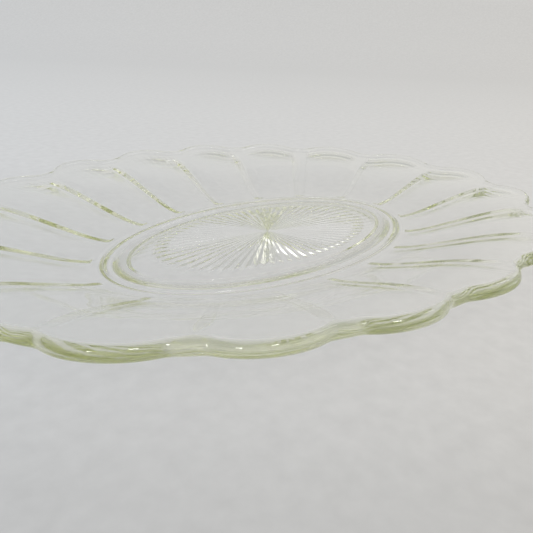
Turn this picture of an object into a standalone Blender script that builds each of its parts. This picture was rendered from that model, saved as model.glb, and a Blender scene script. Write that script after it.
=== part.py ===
import math

import bmesh
import bpy
import numpy as np

# Sizes are in millimetres and are turned into metres where the glass is placed.
MM = 0.001

# Plan of the oval, measured to the notches between the petals.
NOTCH_HALF_LENGTH = 152.7
NOTCH_HALF_WIDTH = 116.6
PETAL_COUNT = 18
PETAL_BULGE = 6.0
PETAL_LIFT = 0.6

# Section of the glass, from the gently domed floor out to the rim.
FLOOR_HALF_WIDTH = 51.0
FLOOR_THICKNESS = 4.0
FLOOR_EDGE_LEVEL = 5.0
FLOOR_DOME = 2.2
CREASE_WIDTH = 2.0
CREASE_ANGLE = math.radians(6.0)
VERGE_WIDTH = 19.0
STEEP_WIDTH = 16.0
EASE_WIDTH = 28.0
STEEP_ANGLE = math.radians(19.5)
RIM_ANGLE = math.radians(8.0)
RIM_THICKNESS = 5.6
SIDE_LIFT = 1.4

# Ribs between the petals and shallow flutes along the petals, all on the underside.
RIB_HEIGHT = 0.52
RIB_HALF_SHARE = 0.117
RIB_START_SHARE = 0.055
RIB_END_SHARE = 0.025
FLUTE_DEPTH = 0.5

# Narrow foot ring under the floor, and a low ridge under the floor's edge that stays clear of the table.
FOOT_MARGIN = 9.6
FOOT_WIDTH = 2.0
FOOT_INNER_RUN = 2.0
FOOT_OUTER_RUN = 5.0
RIDGE_MARGIN = 1.6
RIDGE_HEIGHT = 1.1

# Sunburst of V-shaped rays pressed up into the underside of the floor, inside the foot ring.
RAY_COUNT = 63
RAY_DEPTH = 0.65
RAY_END_SHARE = 0.14
STAR_SIDE_MARGIN = 1.4
STAR_END_MARGIN = 10.0

# How finely the oval is divided.
STEPS_PER_RAY = 4
RIB_STEPS = 2
PETAL_HALF_STEPS = 7

GLASS_COLOUR = (0.86, 0.90, 0.80, 1.0)

LONGITUDES = RAY_COUNT * STEPS_PER_RAY
OVAL_STRETCH = NOTCH_HALF_LENGTH - NOTCH_HALF_WIDTH
RIM_CENTRE = NOTCH_HALF_WIDTH - RIM_THICKNESS / 2
MID_FLANGE = (FLOOR_HALF_WIDTH + NOTCH_HALF_WIDTH) / 2
FOOT_OUTER_HALF_WIDTH = FLOOR_HALF_WIDTH - FOOT_MARGIN
FOOT_INNER_HALF_WIDTH = FOOT_OUTER_HALF_WIDTH - FOOT_WIDTH
STAR_HALF_WIDTH = FOOT_INNER_HALF_WIDTH - FOOT_INNER_RUN - STAR_SIDE_MARGIN
STAR_HALF_LENGTH = FOOT_INNER_HALF_WIDTH + OVAL_STRETCH - FOOT_INNER_RUN - STAR_END_MARGIN


def clear_scene():
    for item in list(bpy.data.objects):
        bpy.data.objects.remove(item, do_unlink=True)


def even_angles(half_width, half_length, shares):
    # Angles that divide the length of one oval into the given shares.
    fine = np.linspace(0.0, math.tau, 7201)
    x = half_length * np.cos(fine)
    y = half_width * np.sin(fine)
    length = np.concatenate([[0.0], np.cumsum(np.hypot(np.diff(x), np.diff(y)))])
    return np.interp(shares * length[-1], length, fine)


def petal_places():
    # Where each division stands among the petals: whole numbers are rib centres.
    place = np.arange(LONGITUDES) * PETAL_COUNT / LONGITUDES
    rib = np.round(place)
    side = np.sign(place - rib)
    step = np.abs(place - rib) * 2 * PETAL_HALF_STEPS
    in_rib = RIB_HALF_SHARE * step / RIB_STEPS
    in_petal = RIB_HALF_SHARE + (0.5 - RIB_HALF_SHARE) * (step - RIB_STEPS) / (PETAL_HALF_STEPS - RIB_STEPS)
    return rib + side * np.where(step <= RIB_STEPS, in_rib, in_petal)


def petal_arch(place):
    # Nought on a rib, one along the middle of a petal.
    away = np.abs(place - np.round(place))
    across = 1.0 - (away - RIB_HALF_SHARE) / (0.5 - RIB_HALF_SHARE)
    return np.where(away > RIB_HALF_SHARE, 1.0 - across ** 2, 0.0)


def ease(share):
    share = np.clip(share, 0.0, 1.0)
    return share * share * (3.0 - 2.0 * share)


def rib_arch(place):
    # One along the crest of a rib, nought from its foot on.
    return 1.0 - ease(np.abs(place - np.round(place)) / RIB_HALF_SHARE)


def floor_top(share):
    # Height of the floor's upper side, at a share of the way from its middle to its edge.
    return FLOOR_EDGE_LEVEL + FLOOR_DOME * (1.0 - share ** 2)


def flange_rise(half_width):
    # Height gained from the floor's edge: a crease, a curved verge, a steep stretch, then an easing to the rim.
    reach = np.linspace(0.0, 2 * NOTCH_HALF_WIDTH, 4501)
    past_edge = reach - FLOOR_HALF_WIDTH
    angle = CREASE_ANGLE * ease(past_edge / CREASE_WIDTH)
    angle = angle + (STEEP_ANGLE - CREASE_ANGLE) * ease(past_edge / VERGE_WIDTH)
    angle = angle + (RIM_ANGLE - STEEP_ANGLE) * ease((past_edge - VERGE_WIDTH - STEEP_WIDTH) / EASE_WIDTH)
    slope = np.tan(angle)
    rise = np.concatenate([[0.0], np.cumsum((slope[1:] + slope[:-1]) / 2 * np.diff(reach))])
    return np.interp(half_width, reach, rise)


def flange_thickness(share, place):
    flute = petal_arch(place) * ease(share / 0.3) * ease((1.0 - share) / 0.35)
    rib = rib_arch(place) * ease((share - RIB_START_SHARE) / RIB_END_SHARE) * ease((1.0 - share) / 0.2)
    plain = FLOOR_THICKNESS + (RIM_THICKNESS - FLOOR_THICKNESS) * share
    return plain + RIB_HEIGHT * rib - FLUTE_DEPTH * flute


def flange_ring(share, place, angle, under):
    # One ring of the flange on its upper or its under side; the rim dips a little towards the two ends.
    plain = FLOOR_HALF_WIDTH + share * (RIM_CENTRE - FLOOR_HALF_WIDTH)
    half_width = plain + PETAL_BULGE * petal_arch(place) * share ** 2
    swell = 0.5 - 0.5 * np.cos(math.tau * place)
    lift = PETAL_LIFT * swell - SIDE_LIFT * np.cos(2 * angle)
    height = FLOOR_EDGE_LEVEL + flange_rise(half_width) + lift * share ** 2
    if under:
        height = height - flange_thickness(share, place)
    return half_width, height


def rim_ring(turn, place, angle):
    # The rounded edge, from its top at a quarter turn up to its bottom at a quarter turn down.
    half_width, height = flange_ring(1.0, place, angle, False)
    radius = RIM_THICKNESS / 2
    return half_width + radius * math.cos(turn), height + radius * (math.sin(turn) - 1.0)


def ray_valley():
    # Nought on the crest between two rays, one along the bottom of a ray.
    phase = np.arange(LONGITUDES) * RAY_COUNT / LONGITUDES
    return 1.0 - 2.0 * np.abs(phase - np.floor(phase) - 0.5)


def build_rings():
    # Every ring of the section, from the middle of the floor round the rim to the middle of the underside.
    place = petal_places()
    outer = even_angles(MID_FLANGE, MID_FLANGE + OVAL_STRETCH, place / PETAL_COUNT)
    inner = even_angles(STAR_HALF_WIDTH, STAR_HALF_LENGTH, np.arange(LONGITUDES) / LONGITUDES)
    full = np.ones(LONGITUDES)
    rings = []

    def add_oval(half_width, half_length, height, outwardness):
        angle = inner + (outer - inner) * outwardness
        x = half_length * np.cos(angle)
        y = half_width * np.sin(angle)
        rings.append(np.stack([x, y, height * full], axis=-1) * MM)

    def add(half_width, height, outwardness):
        # Outside the sunburst every oval is the same distance longer than it is wide.
        add_oval(half_width, half_width + OVAL_STRETCH, height, outwardness)

    middle = 0.55
    add_oval(FLOOR_HALF_WIDTH * middle, (FLOOR_HALF_WIDTH + OVAL_STRETCH) * middle, floor_top(middle), 1.0)
    top_shares = (0.0, 0.07, 0.17, 0.31, 0.5, 0.72, 1.0)
    for share in top_shares:
        add(*flange_ring(share, place, outer, False), 1.0)
    for turn in (45.0, 0.0, -45.0):
        add(*rim_ring(math.radians(turn), place, outer), 1.0)
    rib_full = RIB_START_SHARE + RIB_END_SHARE
    for share in (0.8, 0.5, 0.31, 0.17, rib_full, RIB_START_SHARE, 0.0):
        add(*flange_ring(share, place, outer, True), 1.0)
    outer_height = floor_top(0.92) - FLOOR_THICKNESS
    add(FLOOR_HALF_WIDTH - RIDGE_MARGIN, outer_height - RIDGE_HEIGHT, 1.0)
    add(FOOT_OUTER_HALF_WIDTH + FOOT_OUTER_RUN, outer_height, 1.0)
    add(FOOT_OUTER_HALF_WIDTH, 0.0, 0.85)
    add(FOOT_INNER_HALF_WIDTH, 0.0, 0.35)
    add(FOOT_INNER_HALF_WIDTH - FOOT_INNER_RUN, floor_top(0.79) - FLOOR_THICKNESS, 0.2)
    add_oval(STAR_HALF_WIDTH, STAR_HALF_LENGTH, floor_top(0.73) - FLOOR_THICKNESS, 0.0)
    share = 1.0 - RAY_END_SHARE
    height = floor_top(0.73 * share) - FLOOR_THICKNESS + RAY_DEPTH * share * ray_valley()
    add_oval(STAR_HALF_WIDTH * share, STAR_HALF_LENGTH * share, height, 0.0)
    return rings


def build_platter():
    rings = build_rings()
    mesh_data = bmesh.new()
    bmesh.ops.create_uvsphere(mesh_data, u_segments=LONGITUDES, v_segments=len(rings) + 1, radius=1.0)
    for vertex in mesh_data.verts:
        level = round(math.acos(max(-1.0, min(1.0, vertex.co.z))) / math.pi * (len(rings) + 1))
        turn = round(math.atan2(vertex.co.y, vertex.co.x) / math.tau * LONGITUDES) % LONGITUDES
        if level == 0:
            vertex.co = (0.0, 0.0, floor_top(0.0) * MM)
        elif level == len(rings) + 1:
            vertex.co = (0.0, 0.0, (floor_top(0.0) - FLOOR_THICKNESS) * MM)
        else:
            vertex.co = rings[level - 1][turn]
    mesh = bpy.data.meshes.new("platter")
    mesh_data.to_mesh(mesh)
    mesh_data.free()
    mesh.polygons.foreach_set("use_smooth", [True] * len(mesh.polygons))
    mesh.set_sharp_from_angle(angle=math.radians(28.0))
    return bpy.data.objects.new("platter", mesh)


def pressed_glass():
    material = bpy.data.materials.new("pressed_glass")
    material.use_nodes = True
    shader = material.node_tree.nodes["Principled BSDF"]
    shader.inputs["Base Color"].default_value = GLASS_COLOUR
    shader.inputs["Roughness"].default_value = 0.03
    shader.inputs["IOR"].default_value = 1.52
    shader.inputs["Transmission Weight"].default_value = 1.0
    return material


clear_scene()
collection = bpy.data.collections.new("oval_serving_platter")
bpy.context.scene.collection.children.link(collection)
platter = build_platter()
platter.data.materials.append(pressed_glass())
collection.objects.link(platter)
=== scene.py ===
import bpy
import math
import numpy as np
from mathutils import Matrix, Vector


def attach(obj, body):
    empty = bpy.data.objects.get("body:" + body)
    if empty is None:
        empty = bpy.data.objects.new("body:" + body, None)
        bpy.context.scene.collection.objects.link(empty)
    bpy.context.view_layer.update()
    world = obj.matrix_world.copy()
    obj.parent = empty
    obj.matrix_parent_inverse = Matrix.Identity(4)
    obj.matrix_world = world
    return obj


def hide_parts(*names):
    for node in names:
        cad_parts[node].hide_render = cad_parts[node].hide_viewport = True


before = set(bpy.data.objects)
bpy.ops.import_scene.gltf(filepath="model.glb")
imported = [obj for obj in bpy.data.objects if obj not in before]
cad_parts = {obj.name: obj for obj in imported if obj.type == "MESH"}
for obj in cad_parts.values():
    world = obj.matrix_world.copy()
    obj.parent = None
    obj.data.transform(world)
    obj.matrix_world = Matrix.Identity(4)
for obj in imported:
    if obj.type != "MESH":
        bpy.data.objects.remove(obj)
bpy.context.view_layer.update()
print("frame loaded")

perMetre = 1000  # the platter and the viewpoint are written in millimetres
curveSamples = 7201  # fine points along an oval, to divide it evenly
slopeSamples = 4501  # fine points along the flange, to add up its rise

# millimetres and degrees; a share is of the way across the floor, a petal or the flange
platter = {
    # plan, measured to the notches between the petals
    "notchHalfLength": 152.7,
    "notchHalfWidth": 116.6,
    "petals": 18,
    "petalBulge": 6.0,
    "petalLift": 0.6,
    "notchHalfShare": 0.117,
    "cornerRound": 0.045,
    "cornerSamples": 19,
    # section, from the domed floor out to the rim
    "floorHalfWidth": 51.0,
    "floorThickness": 4.0,
    "floorEdgeLevel": 5.0,
    "floorDome": 2.2,
    "creaseWidth": 2.0,
    "creaseAngle": 6.0,
    "vergeWidth": 19.0,
    "steepWidth": 16.0,
    "easeWidth": 28.0,
    "steepAngle": 19.5,
    "rimAngle": 8.0,
    "rimThickness": 5.6,
    "sideLift": 1.4,
    # ribs between the petals and flutes along them, on the underside
    "ribHeight": 0.68,
    "ribHalfShare": 0.145,
    "ribRound": 0.15,
    "ribStart": 0.055,
    "ribEndRun": 0.025,
    "ribFade": 0.32,
    "ribInnerPart": 0.7,
    "ribGrowth": 0.6,
    "fluteDepth": 0.5,
    "fluteRun": 0.3,
    "fluteFade": 0.35,
    # low ridge under the floor's edge, and the foot ring
    "ridgeHalfWidth": 49.4,
    "ridgeWidth": 3.4,
    "ridgeHeight": 0.9,
    "ridgeDrop": 0.2,
    "ridgeFloorShare": 0.92,
    "footInnerHalfWidth": 39.4,
    "footWidth": 2.0,
    "footInnerRun": 2.0,
    "footOuterRun": 5.0,
    "footFloorShare": 0.79,
    # sunburst
    "rays": 63,
    "rayDepth": 1.2,
    "starHalfWidth": 36.0,
    "starHalfLength": 63.5,
    "starFloorShare": 0.73,
    "rayEndRun": 0.14,
    # how finely it is divided, with smaller steps near the ribs
    "turns": 1008,
    "sectors": 9,
    "ribStep": 0.55,
    "ribStepGrowth": 0.9,
    "mergeGap": 2e-6,
    "smoothAngle": 26.0,
}
stretch = platter["notchHalfLength"] - platter["notchHalfWidth"]
rimCentre = platter["notchHalfWidth"] - platter["rimThickness"] / 2
footOuter = platter["footInnerHalfWidth"] + platter["footWidth"]


def ease(share):
    share = np.clip(share, 0.0, 1.0)
    return share * share * (3.0 - 2.0 * share)


def evenAngles(halfWidth, halfLength, shares):
    fine = np.linspace(0.0, math.tau, curveSamples)
    x = halfLength * np.cos(fine)
    y = halfWidth * np.sin(fine)
    length = np.concatenate([[0.0], np.cumsum(np.hypot(np.diff(x), np.diff(y)))])
    return np.interp(shares * length[-1], length, fine)


# places round the oval: whole numbers are rib centres
evenPlace = np.arange(platter["turns"]) * platter["petals"] / platter["turns"]
fromRib = evenPlace - np.round(evenPlace)
drawnIn = platter["ribStep"] * np.abs(fromRib) + platter["ribStepGrowth"] * fromRib ** 2
place = np.round(evenPlace) + np.sign(fromRib) * drawnIn
away = np.abs(place - np.round(place))
# a rib is a low roof with even flanks, rounded along its crest and its foot
ribFine = np.linspace(0.0, 1.0, 401)
ribSlope = np.clip(np.minimum(ribFine, 1.0 - ribFine) / platter["ribRound"], 0.0, 1.0)
ribDrop = np.concatenate([[0.0], np.cumsum((ribSlope[1:] + ribSlope[:-1]) / 2)])
ribArch = 1.0 - np.interp(away / platter["ribHalfShare"], ribFine, ribDrop / ribDrop[-1])
# a petal's edge is an arch between two notches, with its corners rounded over
notchHalf = platter["notchHalfShare"]
petalArch = np.zeros(platter["turns"])
for shift in np.linspace(-platter["cornerRound"], platter["cornerRound"], platter["cornerSamples"]):
    nearby = np.abs(place + shift - np.round(place + shift))
    arch = 1.0 - ((0.5 - nearby) / (0.5 - notchHalf)) ** 2
    petalArch += np.where(nearby > notchHalf, arch, 0.0) / platter["cornerSamples"]
petalSwell = 0.5 - 0.5 * np.cos(math.tau * place)
rayPhase = np.arange(platter["turns"]) * platter["rays"] / platter["turns"]
rayValley = 1.0 - 2.0 * np.abs(rayPhase - np.floor(rayPhase) - 0.5)
midFlange = (platter["floorHalfWidth"] + platter["notchHalfWidth"]) / 2
ribAngles = evenAngles(midFlange, midFlange + stretch, place / platter["petals"])
evenShares = np.arange(platter["turns"]) / platter["turns"]
rayAngles = evenAngles(platter["starHalfWidth"], platter["starHalfLength"], evenShares)


def flangeRise(halfWidth):
    reach = np.linspace(0.0, 2 * platter["notchHalfWidth"], slopeSamples)
    pastEdge = reach - platter["floorHalfWidth"]
    easeStart = platter["floorHalfWidth"] + platter["vergeWidth"] + platter["steepWidth"]
    steepening = platter["steepAngle"] - platter["creaseAngle"]
    flattening = platter["rimAngle"] - platter["steepAngle"]
    angle = platter["creaseAngle"] * ease(pastEdge / platter["creaseWidth"])
    angle = angle + steepening * ease(pastEdge / platter["vergeWidth"])
    angle = angle + flattening * ease((reach - easeStart) / platter["easeWidth"])
    slope = np.tan(np.radians(angle))
    rise = np.concatenate([[0.0], np.cumsum((slope[1:] + slope[:-1]) / 2 * np.diff(reach))])
    return np.interp(halfWidth, reach, rise)


def floorTop(share):
    # the floor swells a little to the middle
    return platter["floorEdgeLevel"] + platter["floorDome"] * (1.0 - share ** 2)


def flangeThickness(share):
    flute = petalArch * ease(share / platter["fluteRun"]) * ease((1.0 - share) / platter["fluteFade"])
    ribIn = ease((share - platter["ribStart"]) / platter["ribEndRun"])
    rib = ribArch * ribIn * ease((1.0 - share) / platter["ribFade"])
    # the ribs widen outwards, and grow so that their flanks keep one slope
    rib = rib * (platter["ribInnerPart"] + platter["ribGrowth"] * share)
    plain = platter["floorThickness"] + (platter["rimThickness"] - platter["floorThickness"]) * share
    return plain + platter["ribHeight"] * rib - platter["fluteDepth"] * flute


def flangeRing(share, under):
    plain = platter["floorHalfWidth"] + share * (rimCentre - platter["floorHalfWidth"])
    halfWidth = plain + platter["petalBulge"] * petalArch * share ** 2
    lift = platter["petalLift"] * petalSwell - platter["sideLift"] * np.cos(2 * ribAngles)
    height = platter["floorEdgeLevel"] + flangeRise(halfWidth) + lift * share ** 2
    if under:
        height = height - flangeThickness(share)
    return halfWidth, height


# where the rings of the section lie, as shares of each stretch, or as first, last and how many
sectionRings = {
    "floor": (0.2, 0.45, 0.65, 0.82, 0.92),
    "flangeInner": (0.0, 0.01, 0.02, 0.032, 0.055, 0.0615, 0.068, 0.0745, 0.081),
    "flangeMiddle": (0.11, 0.93, 14),
    "flangeOuter": (0.965, 1.0),
    "flangeUnderFrom": 3,
    "rimDegrees": (72.0, -72.0, 9),
    "ridge": (1.0, 0.67, 0.33, 0.0, -0.33, -0.67, -1.0),
    "footOuterWall": (0.0, 1.0, 8),
    "footInnerWall": (0.0, 1.0, 7),
    "rayEnds": (1.0, 0.86, 6),
    "rayRuns": (0.7, 0.08, 5),
    # rings divided as the ribs are stand at 1, as the rays are at 0; the foot ring takes up the change
    "footOuterTurn": 0.15,
    "footMiddleTurn": 0.6,
    "footInnerTurns": (0.35, 0.15),
}


def platterRings():
    rings = []

    def add(halfWidth, height, outwardness, halfLength=None):
        angle = rayAngles + (ribAngles - rayAngles) * outwardness
        x = (halfWidth + stretch if halfLength is None else halfLength) * np.cos(angle)
        y = halfWidth * np.sin(angle)
        rings.append(np.stack([x, y, height * np.ones(platter["turns"])], axis=-1) / perMetre)

    middle = np.linspace(*sectionRings["flangeMiddle"])
    shares = np.concatenate([sectionRings["flangeInner"], middle, sectionRings["flangeOuter"]])
    floorEdge = platter["floorHalfWidth"]
    for share in sectionRings["floor"]:
        add(floorEdge * share, floorTop(share), 1.0, (floorEdge + stretch) * share)
    for share in shares:
        add(*flangeRing(share, False), 1.0)
    rimWidth, rimHeight = flangeRing(1.0, False)
    rimRadius = platter["rimThickness"] / 2
    for turn in np.radians(np.linspace(*sectionRings["rimDegrees"])):
        add(rimWidth + rimRadius * math.cos(turn), rimHeight + rimRadius * (math.sin(turn) - 1.0), 1.0)
    for share in shares[sectionRings["flangeUnderFrom"]:][::-1]:
        add(*flangeRing(share, True), 1.0)
    # a low ridge under the floor's edge
    outerHeight = floorTop(platter["ridgeFloorShare"]) - platter["floorThickness"]
    for step in sectionRings["ridge"]:
        halfWidth = platter["ridgeHalfWidth"] + platter["ridgeWidth"] / 2 * step
        ridge = platter["ridgeHeight"] * (1.0 - ease(abs(step)))
        add(halfWidth, outerHeight - platter["ridgeDrop"] - ridge, 1.0)
    # the foot ring: its outer wall, the ring it stands on, its inner wall
    for step in np.linspace(*sectionRings["footOuterWall"]):
        halfWidth = footOuter + platter["footOuterRun"] * (1.0 - step)
        add(halfWidth, outerHeight * (1.0 - ease(step)), 1.0 - sectionRings["footOuterTurn"] * step)
    add(footOuter - platter["footWidth"] / 2, 0.0, sectionRings["footMiddleTurn"])
    innerHeight = floorTop(platter["footFloorShare"]) - platter["floorThickness"]
    innerStart, innerChange = sectionRings["footInnerTurns"]
    for step in np.linspace(*sectionRings["footInnerWall"]):
        halfWidth = platter["footInnerHalfWidth"] - platter["footInnerRun"] * step
        add(halfWidth, innerHeight * ease(step), innerStart - innerChange * step)
    # the rays rise from the plain floor and run to the middle
    rayEnds = np.linspace(*sectionRings["rayEnds"])
    rayRuns = np.linspace(*sectionRings["rayRuns"])
    for share in np.concatenate([rayEnds, rayRuns]):
        depth = platter["rayDepth"] * share * ease((1.0 - share) / platter["rayEndRun"])
        plain = floorTop(platter["starFloorShare"] * share) - platter["floorThickness"]
        halfLength = platter["starHalfLength"] * share
        add(platter["starHalfWidth"] * share, plain + depth * rayValley, 0.0, halfLength)
    return rings


def startEditing(name):
    bpy.context.object.name = name
    bpy.context.object.data.name = name
    bpy.ops.object.mode_set(mode="EDIT")
    bpy.ops.mesh.select_all(action="SELECT")


def makePlatter():
    rings = platterRings()
    floorUnder = floorTop(0.0) - platter["floorThickness"]
    section = [(0.0, floorTop(0.0) / perMetre)] + [(ring[0][0], ring[0][2]) for ring in rings]
    section = section + [(0.0, floorUnder / perMetre)]
    bpy.ops.object.select_all(action="DESELECT")
    bpy.ops.mesh.primitive_plane_add(size=0.001, location=(0.0, 0.0, 0.0))
    startEditing("pressed_platter")
    bpy.ops.mesh.merge(type="CENTER")
    bpy.ops.transform.translate(value=(section[0][0], 0.0, section[0][1]))
    # the section along the length, drawn from the middle out and back
    for here, there in zip(section[:-1], section[1:]):
        step = (there[0] - here[0], 0.0, there[1] - here[1])
        bpy.ops.mesh.extrude_region_move(TRANSFORM_OT_translate={"value": step})
    # two petals are spun, and copied round
    sector = math.tau / platter["sectors"]
    sectorTurns = platter["turns"] // platter["sectors"]
    copies = platter["sectors"] - 1
    about = {"center": (0.0, 0.0, 0.0), "axis": (0.0, 0.0, 1.0)}
    bpy.ops.mesh.select_all(action="SELECT")
    bpy.ops.mesh.spin(steps=sectorTurns, angle=sector, **about)
    bpy.ops.mesh.select_all(action="SELECT")
    bpy.ops.mesh.spin(steps=copies, angle=math.tau - sector, dupli=True, **about)
    bpy.ops.mesh.select_all(action="SELECT")
    bpy.ops.mesh.remove_doubles(threshold=platter["mergeGap"])
    bpy.ops.object.mode_set(mode="OBJECT")
    piece = bpy.context.object
    spun = np.empty(len(piece.data.vertices) * 3)
    piece.data.vertices.foreach_get("co", spun)
    spun = spun.reshape(-1, 3)
    # every spun ring is drawn out to its oval, with the petals, ribs and rays
    turn = np.round(np.arctan2(spun[:, 1], spun[:, 0]) / math.tau * platter["turns"])
    turn = turn.astype(int) % platter["turns"]
    around = np.stack([np.hypot(spun[:, 0], spun[:, 1]), spun[:, 2]], axis=-1)
    gap = np.stack([np.hypot(around[:, 0] - r, around[:, 1] - z) for r, z in section], axis=-1)
    level = gap.argmin(axis=-1)
    shaped = spun.copy()
    for number, ring in enumerate(rings, start=1):
        shaped[level == number] = ring[turn[level == number]]
    piece.data.vertices.foreach_set("co", shaped.ravel())
    piece.data.update()
    bpy.ops.object.mode_set(mode="EDIT")
    bpy.ops.mesh.select_all(action="SELECT")
    bpy.ops.mesh.normals_make_consistent(inside=False)
    bpy.ops.object.mode_set(mode="OBJECT")
    bpy.ops.object.shade_smooth_by_angle(angle=math.radians(platter["smoothAngle"]))
    return piece


def link(owner, source, target):
    owner.node_tree.links.new(source, target)


def mathNode(nodes, operation, amount=None):
    node = nodes.new("ShaderNodeMath")
    node.operation = operation
    if amount is not None:
        node.inputs[1].default_value = amount
    return node


def vectorNode(nodes, operation, vector=None):
    node = nodes.new("ShaderNodeVectorMath")
    node.operation = operation
    if vector is not None:
        node.inputs[1].default_value = vector
    return node


def rangeNode(nodes, fromRange, toRange=(0.0, 1.0)):
    node = nodes.new("ShaderNodeMapRange")
    node.inputs["From Min"].default_value, node.inputs["From Max"].default_value = fromRange
    node.inputs["To Min"].default_value, node.inputs["To Max"].default_value = toRange
    return node


def noiseNode(nodes, scale, detail):
    node = nodes.new("ShaderNodeTexNoise")
    node.inputs["Scale"].default_value = scale
    node.inputs["Detail"].default_value = detail
    return node


def bumpNode(nodes, height):
    node = nodes.new("ShaderNodeBump")
    node.inputs["Strength"].default_value = 1.0
    node.inputs["Distance"].default_value = height
    return node


def mixNode(nodes, blend="MIX", first=None, second=None):
    node = nodes.new("ShaderNodeMix")
    node.data_type = "RGBA"
    node.blend_type = blend
    node.inputs["Factor"].default_value = 1.0  # holds where nothing is linked to it
    if first is not None:
        node.inputs["A"].default_value = first
    if second is not None:
        node.inputs["B"].default_value = second
    return node


# clear glass that tints with thickness; heights and levels are in metres
glass = {
    "colour": (1.0, 1.0, 1.0, 1.0),
    "ior": 1.52,
    "absorbColour": (0.45, 0.50, 0.0, 1.0),
    "absorbDensity": 4.9,
    "waveScale": 70.0,
    "waveDetail": 1.5,
    "waveHeight": 0.00002,
    "rimWaves": 26.0,
    "rimWaveDetail": 2.0,
    "rimWaveHeight": 0.00005,
    "rimLevels": (0.014, 0.019),
    "footLevels": (0.0007, 0.0003),
    "footRoughness": 0.3,
}


def makeGlass():
    material = bpy.data.materials.new("pressed_glass")
    material.use_nodes = True
    nodes = material.node_tree.nodes
    shader = nodes["Principled BSDF"]
    shader.inputs["Base Color"].default_value = glass["colour"]
    shader.inputs["IOR"].default_value = glass["ior"]
    shader.inputs["Transmission Weight"].default_value = 1.0
    coords = nodes.new("ShaderNodeTexCoord")
    split = nodes.new("ShaderNodeSeparateXYZ")
    # soft ripple left by the mould
    wave = noiseNode(nodes, glass["waveScale"], glass["waveDetail"])
    bump = bumpNode(nodes, glass["waveHeight"])
    link(material, coords.outputs["Object"], wave.inputs["Vector"])
    link(material, wave.outputs["Fac"], bump.inputs["Height"])
    # uprights along the rim, from the way it was pressed
    inPlan = vectorNode(nodes, "MULTIPLY", (1.0, 1.0, 0.0))
    circle = vectorNode(nodes, "NORMALIZE")
    uprights = noiseNode(nodes, glass["rimWaves"], glass["rimWaveDetail"])
    onRim = rangeNode(nodes, glass["rimLevels"])
    rimWave = mathNode(nodes, "MULTIPLY")
    rimBump = bumpNode(nodes, glass["rimWaveHeight"])
    link(material, coords.outputs["Object"], inPlan.inputs[0])
    link(material, inPlan.outputs["Vector"], circle.inputs[0])
    link(material, circle.outputs["Vector"], uprights.inputs["Vector"])
    link(material, coords.outputs["Object"], split.inputs["Vector"])
    link(material, split.outputs["Z"], onRim.inputs["Value"])
    link(material, uprights.outputs["Fac"], rimWave.inputs[0])
    link(material, onRim.outputs["Result"], rimWave.inputs[1])
    link(material, rimWave.outputs[0], rimBump.inputs["Height"])
    link(material, bump.outputs["Normal"], rimBump.inputs["Normal"])
    link(material, rimBump.outputs["Normal"], shader.inputs["Normal"])
    # the underside of the foot is rubbed dull where it stands
    wear = rangeNode(nodes, glass["footLevels"], (0.0, glass["footRoughness"]))
    link(material, split.outputs["Z"], wear.inputs["Value"])
    link(material, wear.outputs["Result"], shader.inputs["Roughness"])
    absorb = nodes.new("ShaderNodeVolumeAbsorption")
    absorb.inputs["Color"].default_value = glass["absorbColour"]
    absorb.inputs["Density"].default_value = glass["absorbDensity"]
    link(material, absorb.outputs["Volume"], nodes["Material Output"].inputs["Volume"])
    return material


glassPlatter = makePlatter()
glassPlatter.data.materials.append(makeGlass())
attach(glassPlatter, "root")
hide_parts("platter")
print("platter made:", len(glassPlatter.data.polygons), "faces")

# the viewpoint in millimetres and degrees, and its focal length in pixels of the frame
view = {
    "place": (-181.4, -186.0, 98.8),
    "yaw": 44.38,
    "pitch": 23.32,
    "roll": 2.83,
    "focal": 552.6,
    "frame": 533,
    "sensor": 36.0,
    "clipStart": 0.005,
}


def makeCamera():
    yaw = math.radians(view["yaw"])
    pitch = math.radians(view["pitch"])
    level = math.cos(pitch)
    ahead = Vector((math.sin(yaw) * level, math.cos(yaw) * level, -math.sin(pitch)))
    roll = Matrix.Rotation(math.radians(view["roll"]), 3, "Z")
    turn = ahead.to_track_quat("-Z", "Y").to_matrix() @ roll
    lens = bpy.data.cameras.new("viewpoint")
    lens.sensor_width = view["sensor"]
    lens.lens = view["sensor"] * view["focal"] / view["frame"]
    lens.clip_start = view["clipStart"]
    camera = bpy.data.objects.new("viewpoint", lens)
    camera.matrix_world = Matrix.Translation(Vector(view["place"]) / perMetre) @ turn.to_4x4()
    bpy.context.scene.collection.objects.link(camera)
    bpy.context.scene.camera = camera


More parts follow.
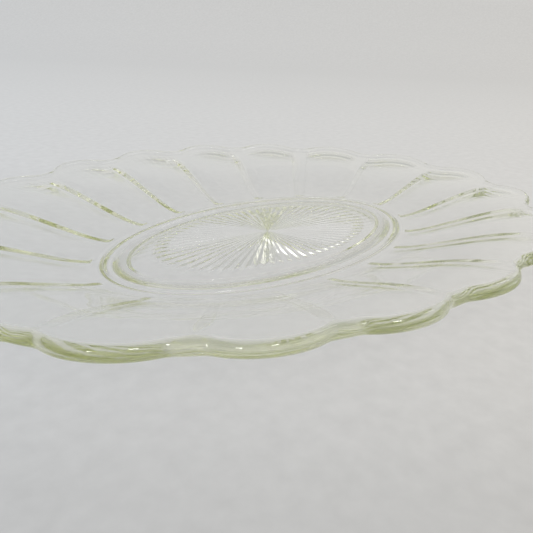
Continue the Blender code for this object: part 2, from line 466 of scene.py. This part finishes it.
# the paper in metres: a floor that curves up into a wall ahead of the viewpoint
sweep = {
    "width": 6.0,
    "front": -3.0,
    "back": 2.2,
    "wallHeight": 2.6,
    "curve": 0.9,
    "curveSteps": 24,
    "level": -0.0002,
    "edgeGap": 0.01,
    # dark, so the lamps light the paper and cast the platter's shadow only faintly; the painted glow
    # gives the paper its level
    "colour": (0.10, 0.10, 0.0995, 1.0),
    # painted light and shade on the paper, along the view and up the wall: a share of the way from near
    # to far, and a level
    "near": -0.2,
    "far": 4.6,
    "paintedLevels": (
        (0.0, 0.41), (0.0075, 0.442), (0.015, 0.494), (0.0238, 0.515), (0.05, 0.53), (0.075, 0.555),
        (0.125, 0.555), (0.156, 0.549), (0.2, 0.54), (0.25, 0.532), (0.3, 0.524), (0.387, 0.511),
        (0.43, 0.502), (0.47, 0.494), (0.5625, 0.58), (0.6875, 0.63), (0.875, 0.62), (1.0, 0.56),
    ),
    "levelBlue": 0.995,
    # painted light tints by the way to the side, as seen from the viewpoint
    "viewBehind": 0.26,
    "nearestTint": 0.16,
    "sideReach": (-0.5, 0.5),
    "leftPaintedTint": (0.98, 1.0, 1.022, 1.0),
    "rightPaintedTint": (1.03, 1.01, 0.975, 1.0),
    # painted shade on the left and painted light on the right, which set in up the wall
    "paintedShadeHeights": (0.2, 0.7),
    "leftPaintedShade": (0.78, 0.79, 0.80, 1.0),
    "rightPaintedLight": (1.12, 1.11, 1.10, 1.0),
    "grainScale": 160.0,
    "grainDetail": 5.0,
    "grainRange": (0.25, 0.75),
    "grainDepth": 0.05,
}


def makeSweep():
    bpy.ops.object.select_all(action="DESELECT")
    bpy.ops.mesh.primitive_plane_add(size=1.0, location=(0.0, 0.0, 0.0))
    startEditing("paper_sweep")
    bpy.ops.transform.resize(value=(sweep["width"], sweep["back"] - sweep["front"], 1.0))
    bpy.ops.transform.translate(value=(0.0, (sweep["back"] + sweep["front"]) / 2, sweep["level"]))
    piece = bpy.context.object
    farEdge = sweep["back"] - sweep["edgeGap"]
    # the far edge is drawn up into the wall
    bpy.ops.mesh.select_all(action="DESELECT")
    bpy.ops.mesh.select_mode(type="EDGE")
    bpy.ops.object.mode_set(mode="OBJECT")
    for edge in piece.data.edges:
        edge.select = all(piece.data.vertices[v].co.y > farEdge for v in edge.vertices)
    bpy.ops.object.mode_set(mode="EDIT")
    upWall = (0.0, 0.0, sweep["wallHeight"])
    bpy.ops.mesh.extrude_region_move(TRANSFORM_OT_translate={"value": upWall})
    # the corner between floor and wall is bevelled round
    bpy.ops.mesh.select_all(action="DESELECT")
    bpy.ops.object.mode_set(mode="OBJECT")
    for edge in piece.data.edges:
        corner = [piece.data.vertices[v].co for v in edge.vertices]
        edge.select = all(co.y > farEdge and abs(co.z) < sweep["edgeGap"] for co in corner)
    bpy.ops.object.mode_set(mode="EDIT")
    bpy.ops.mesh.bevel(offset=sweep["curve"], segments=sweep["curveSteps"], affect="EDGES")
    bpy.ops.mesh.select_all(action="SELECT")
    yaw = math.radians(view["yaw"])
    bpy.ops.transform.rotate(value=yaw, orient_axis="Z", center_override=(0.0, 0.0, 0.0))
    bpy.ops.object.mode_set(mode="OBJECT")
    bpy.ops.object.shade_smooth()
    return piece


def makePaper():
    material = bpy.data.materials.new("pale_paper")
    material.use_nodes = True
    nodes = material.node_tree.nodes
    nodes.remove(nodes["Principled BSDF"])
    diffuse = nodes.new("ShaderNodeBsdfDiffuse")
    diffuse.inputs["Color"].default_value = sweep["colour"]
    paintedGlow = nodes.new("ShaderNodeEmission")
    coords = nodes.new("ShaderNodeTexCoord")
    yaw = math.radians(view["yaw"])
    # painted shade dims it towards the front edge; painted light makes it paler behind the platter and
    # palest high on the wall
    along = vectorNode(nodes, "DOT_PRODUCT", (math.sin(yaw), math.cos(yaw), 1.0))
    reach = rangeNode(nodes, (sweep["near"], sweep["far"]))
    paintedFalloff = nodes.new("ShaderNodeValToRGB")
    paintedFalloff.color_ramp.interpolation = "EASE"
    while len(paintedFalloff.color_ramp.elements) < len(sweep["paintedLevels"]):
        paintedFalloff.color_ramp.elements.new(0.5)
    for stop, (position, level) in zip(paintedFalloff.color_ramp.elements, sweep["paintedLevels"]):
        stop.position = position
        stop.color = (level, level, level * sweep["levelBlue"], 1.0)
    link(material, coords.outputs["Object"], along.inputs[0])
    link(material, along.outputs["Value"], reach.inputs["Value"])
    link(material, reach.outputs["Result"], paintedFalloff.inputs["Fac"])
    # painted light colour: cooler on the left, warmer on the right; behind the viewpoint the tint goes
    # on as it is beside it
    across = vectorNode(nodes, "DOT_PRODUCT", (math.cos(yaw), -math.sin(yaw), 0.0))
    apart = mathNode(nodes, "ADD", sweep["viewBehind"])
    ahead = mathNode(nodes, "MAXIMUM", sweep["nearestTint"])
    side = mathNode(nodes, "DIVIDE")
    lean = rangeNode(nodes, sweep["sideReach"])
    paintedSideTint = mixNode(nodes, "MIX", sweep["leftPaintedTint"], sweep["rightPaintedTint"])
    tinted = mixNode(nodes, "MULTIPLY")
    link(material, coords.outputs["Object"], across.inputs[0])
    link(material, along.outputs["Value"], apart.inputs[0])
    link(material, apart.outputs[0], ahead.inputs[0])
    link(material, across.outputs["Value"], side.inputs[0])
    link(material, ahead.outputs[0], side.inputs[1])
    link(material, side.outputs[0], lean.inputs["Value"])
    link(material, lean.outputs["Result"], paintedSideTint.inputs["Factor"])
    link(material, paintedFalloff.outputs["Color"], tinted.inputs["A"])
    link(material, paintedSideTint.outputs["Result"], tinted.inputs["B"])
    # painted light and shade: up the wall the right is paler than the left
    split = nodes.new("ShaderNodeSeparateXYZ")
    upWall = rangeNode(nodes, sweep["paintedShadeHeights"])
    paintedSlant = mixNode(nodes, "MIX", sweep["leftPaintedShade"], sweep["rightPaintedLight"])
    paintedShading = mixNode(nodes, "MULTIPLY")
    link(material, coords.outputs["Object"], split.inputs["Vector"])
    link(material, split.outputs["Z"], upWall.inputs["Value"])
    link(material, lean.outputs["Result"], paintedSlant.inputs["Factor"])
    link(material, upWall.outputs["Result"], paintedShading.inputs["Factor"])
    link(material, tinted.outputs["Result"], paintedShading.inputs["A"])
    link(material, paintedSlant.outputs["Result"], paintedShading.inputs["B"])
    # a soft mottle
    grain = noiseNode(nodes, sweep["grainScale"], sweep["grainDetail"])
    mottleLevels = (1.0 - sweep["grainDepth"], 1.0 + sweep["grainDepth"])
    mottle = rangeNode(nodes, sweep["grainRange"], mottleLevels)
    grained = mixNode(nodes, "MULTIPLY")
    link(material, coords.outputs["Object"], grain.inputs["Vector"])
    link(material, grain.outputs["Fac"], mottle.inputs["Value"])
    link(material, paintedShading.outputs["Result"], grained.inputs["A"])
    link(material, mottle.outputs["Result"], grained.inputs["B"])
    link(material, grained.outputs["Result"], paintedGlow.inputs["Color"])
    # the painted level is a glow seen by the camera and in the glass, and lights nothing
    rays = nodes.new("ShaderNodeLightPath")
    seen = mathNode(nodes, "MAXIMUM")
    through = mathNode(nodes, "MAXIMUM")
    both = nodes.new("ShaderNodeAddShader")
    link(material, rays.outputs["Is Camera Ray"], seen.inputs[0])
    link(material, rays.outputs["Is Glossy Ray"], seen.inputs[1])
    link(material, seen.outputs[0], through.inputs[0])
    link(material, rays.outputs["Is Transmission Ray"], through.inputs[1])
    link(material, through.outputs[0], paintedGlow.inputs["Strength"])
    link(material, diffuse.outputs[0], both.inputs[0])
    link(material, paintedGlow.outputs[0], both.inputs[1])
    link(material, both.outputs[0], nodes["Material Output"].inputs["Surface"])
    return material


# a soft room: bright and warm behind the viewer and to the right, dimmer and cooler ahead and overhead
light = {
    "dimColour": (0.56, 0.57, 0.59, 1.0),
    "brightColour": (1.8, 1.78, 1.72, 1.0),
    "ceilingColour": (0.50, 0.50, 0.51, 1.0),
    "ceilingRange": (0.6, 1.0),
    "brightTurn": 148.0,
    "brightSpread": (-0.5, 0.8),
    # turn from the view and height above the table in degrees, width and height in metres, brightness
    "panels": (
        ("high_lamp", 205.0, 32.0, 0.14, 0.14, 30.0),
        ("side_lamp", 150.0, 50.0, 0.2, 0.2, 16.0),
        ("side_window", 60.0, 48.0, 0.2, 0.6, 1.7),
    ),
    "panelDistance": 1.4,
    "bounces": 80,
}


def makeRoom():
    world = bpy.data.worlds.new("soft_room")
    bpy.context.scene.world = world
    world.use_nodes = True
    nodes = world.node_tree.nodes
    coords = nodes.new("ShaderNodeTexCoord")
    brightTurn = math.radians(view["yaw"] + light["brightTurn"])
    towards = vectorNode(nodes, "DOT_PRODUCT", (math.sin(brightTurn), math.cos(brightTurn), 0.0))
    spread = rangeNode(nodes, light["brightSpread"])
    spread.interpolation_type = "SMOOTHSTEP"
    walls = mixNode(nodes, "MIX", light["dimColour"], light["brightColour"])
    split = nodes.new("ShaderNodeSeparateXYZ")
    overhead = rangeNode(nodes, light["ceilingRange"])
    room = mixNode(nodes, "MIX", None, light["ceilingColour"])
    link(world, coords.outputs["Generated"], towards.inputs[0])
    link(world, towards.outputs["Value"], spread.inputs["Value"])
    link(world, spread.outputs["Result"], walls.inputs["Factor"])
    link(world, coords.outputs["Generated"], split.inputs["Vector"])
    link(world, split.outputs["Z"], overhead.inputs["Value"])
    link(world, overhead.outputs["Result"], room.inputs["Factor"])
    link(world, walls.outputs["Result"], room.inputs["A"])
    link(world, room.outputs["Result"], nodes["Background"].inputs["Color"])


def makePanels():
    for name, turn, height, across, tall, bright in light["panels"]:
        panel = bpy.data.lights.new(name, "AREA")
        panel.shape = "RECTANGLE"
        panel.size = across
        panel.size_y = tall
        panel.energy = bright * math.pi * across * tall
        around = math.radians(view["yaw"] + turn)
        rise = math.radians(height)
        level = math.cos(rise)
        outward = Vector((math.sin(around) * level, math.cos(around) * level, math.sin(rise)))
        lamp = bpy.data.objects.new(name, panel)
        lamp.location = outward * light["panelDistance"]
        lamp.rotation_euler = (-outward).to_track_quat("-Z", "Y").to_euler()
        bpy.context.scene.collection.objects.link(lamp)


paperSweep = makeSweep()
paperSweep.data.materials.append(makePaper())
makeCamera()
makeRoom()
makePanels()
bpy.context.scene.view_settings.view_transform = "Standard"
cycles = bpy.context.scene.cycles
cycles.max_bounces = light["bounces"]  # light runs far inside the glass before it leaves by the rim
cycles.glossy_bounces = light["bounces"]
cycles.transmission_bounces = light["bounces"]
print("floor, light and camera set")
